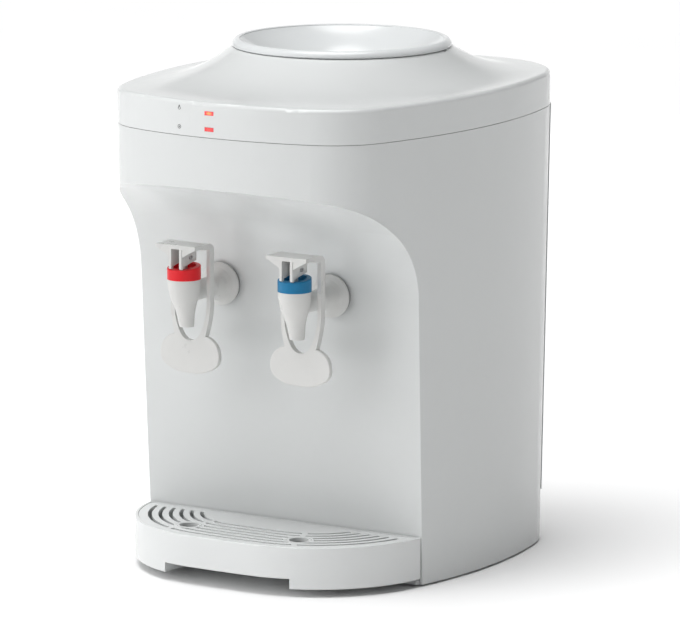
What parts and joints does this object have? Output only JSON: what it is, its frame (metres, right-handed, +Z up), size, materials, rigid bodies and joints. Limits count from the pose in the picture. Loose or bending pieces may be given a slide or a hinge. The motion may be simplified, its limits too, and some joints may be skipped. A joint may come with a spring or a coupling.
{
  "type": "countertop water dispenser",
  "caption": "Countertop hot and room-temperature water dispenser with a bottle funnel on top, two lever taps over a cup recess, and a pull-out drip tray",
  "frame": {"origin": "middle of the overall box, on the surface that the feet stand on", "axes": "+Z up, front with the taps faces -Y, +X to the right of a person facing the front"},
  "size_m": [0.2644, 0.3269, 0.3845],
  "materials": {
    "shell_white": "smooth gloss moulded ABS",
    "tap_white": "fine satin moulded plastic",
    "tray_white": "satin moulded ABS",
    "funnel_white": "smooth moulded ABS",
    "collar_red": "satin moulded plastic",
    "collar_blue": "satin moulded plastic",
    "lens_red": "clear red lens",
    "rubber_black": "matt moulded rubber",
    "silicone_clear": "milky silicone",
    "gasket_grey": "soft rubber",
    "steel": "drawn stainless steel",
    "zinc_steel": "zinc plated",
    "spring_steel": "polished wire",
    "pan_grey": "plain moulded plastic",
    "reservoir_white": "translucent white polypropylene",
    "foam_grey": "closed-cell foam",
    "mica_band": "heater band sheet",
    "thermo_brown": "phenolic",
    "board_green": "circuit board",
    "led_red": "red epoxy",
    "block_white": "terminal block nylon",
    "black_plastic": "satin black plastic",
    "rocker_red": "translucent red plastic",
    "wire_sleeve": "braided sleeve"
  },
  "bodies": {
    "housing": {"housing_shell": "shell_white", "rear_cover": "shell_white", "top_cover": "shell_white", "base_pan": "pan_grey", "rubber_feet": "rubber_black", "lamp_window_heating": "lens_red", "lamp_window_warm": "lens_red", "lamp_board": "board_green", "lamp_leds": "led_red", "tap_gaskets": "gasket_grey", "tap_nuts": "tap_white", "reservoir_shelf": "pan_grey", "reservoir": "reservoir_white", "reservoir_seal": "silicone_clear", "hot_tank": "steel", "tank_jacket": "foam_grey", "heater_band": "mica_band", "band_bolt": "zinc_steel", "control_thermostat": "thermo_brown", "safety_cutout": "thermo_brown", "tank_bracket": "zinc_steel", "hose_cold_feed": "silicone_clear", "hose_hot_feed": "silicone_clear", "hose_hot_outlet": "silicone_clear", "hose_vent": "silicone_clear", "hose_drain": "silicone_clear", "hose_clips": "spring_steel", "terminal_block": "block_white", "lamp_lead": "wire_sleeve", "heater_lead": "wire_sleeve", "switch_lead": "wire_sleeve", "switch_frame": "black_plastic", "cord_gland": "black_plastic", "gland_nut": "black_plastic", "drain_spout": "tap_white", "rear_cover_screws": "zinc_steel", "base_screws": "zinc_steel", "bracket_bolts": "zinc_steel", "hot_tap_body": "tap_white", "hot_tap_collar": "collar_red", "hot_tap_spring": "spring_steel", "cold_tap_body": "tap_white", "cold_tap_collar": "collar_blue", "cold_tap_spring": "spring_steel"},
    "funnel": {"bottle_funnel": "funnel_white", "bottle_spike": "tap_white", "spike_ring": "silicone_clear"},
    "tray": {"drip_tray": "tray_white"},
    "grille": {"drip_grille": "tray_white"},
    "rocker": {"switch_rocker": "rocker_red"},
    "drain_plug": {"drain_cap": "black_plastic", "drain_washer": "rubber_black"},
    "hot_lever": {"hot_tap_lever": "tap_white"},
    "hot_stem": {"hot_tap_stem": "tap_white", "hot_tap_pin": "spring_steel", "hot_tap_seal": "silicone_clear"},
    "cold_lever": {"cold_tap_lever": "tap_white"},
    "cold_stem": {"cold_tap_stem": "tap_white", "cold_tap_pin": "spring_steel", "cold_tap_seal": "silicone_clear"}
  },
  "joints": [
    {"name": "hot_lever_hinge", "type": "hinge", "parent": "housing", "child": "hot_lever", "pos_m": [-0.048, -0.14, 0.2296], "axis": [1, 0, 0], "range_deg": [0, 15], "stiffness_Nm_per_rad": 0.25, "springref_deg": -2.86},
    {"name": "hot_stem_lift", "type": "slide", "parent": "housing", "child": "hot_stem", "axis": [0, 0, 1], "range_m": [0, 0.0029], "deforming": ["hot_tap_spring"]},
    {"name": "cold_lever_hinge", "type": "hinge", "parent": "housing", "child": "cold_lever", "pos_m": [0.048, -0.14, 0.2296], "axis": [1, 0, 0], "range_deg": [0, 15], "stiffness_Nm_per_rad": 0.25, "springref_deg": -2.86},
    {"name": "cold_stem_lift", "type": "slide", "parent": "housing", "child": "cold_stem", "axis": [0, 0, 1], "range_m": [0, 0.0029], "deforming": ["cold_tap_spring"]},
    {"name": "funnel_lift", "type": "slide", "parent": "housing", "child": "funnel", "axis": [0, 0, 1], "range_m": [0, 0.1]},
    {"name": "tray_pull", "type": "slide", "parent": "housing", "child": "tray", "axis": [0, -1, 0], "range_m": [0, 0.11]},
    {"name": "grille_lift", "type": "slide", "parent": "tray", "child": "grille", "axis": [0, 0, 1], "range_m": [0, 0.05]},
    {"name": "rocker_tilt", "type": "hinge", "parent": "housing", "child": "rocker", "pos_m": [0.028, 0.15299, 0.078], "axis": [0, 0, 1], "range_deg": [0, 10]},
    {"name": "drain_cap_off", "type": "slide", "parent": "housing", "child": "drain_plug", "axis": [0, 1, 0], "range_m": [0, 0.03]}
  ],
  "couplings": [
    {"joint": "hot_stem_lift", "follows": "hot_lever_hinge", "m_per_rad": 0.011077},
    {"joint": "cold_stem_lift", "follows": "cold_lever_hinge", "m_per_rad": 0.011077}
  ]
}
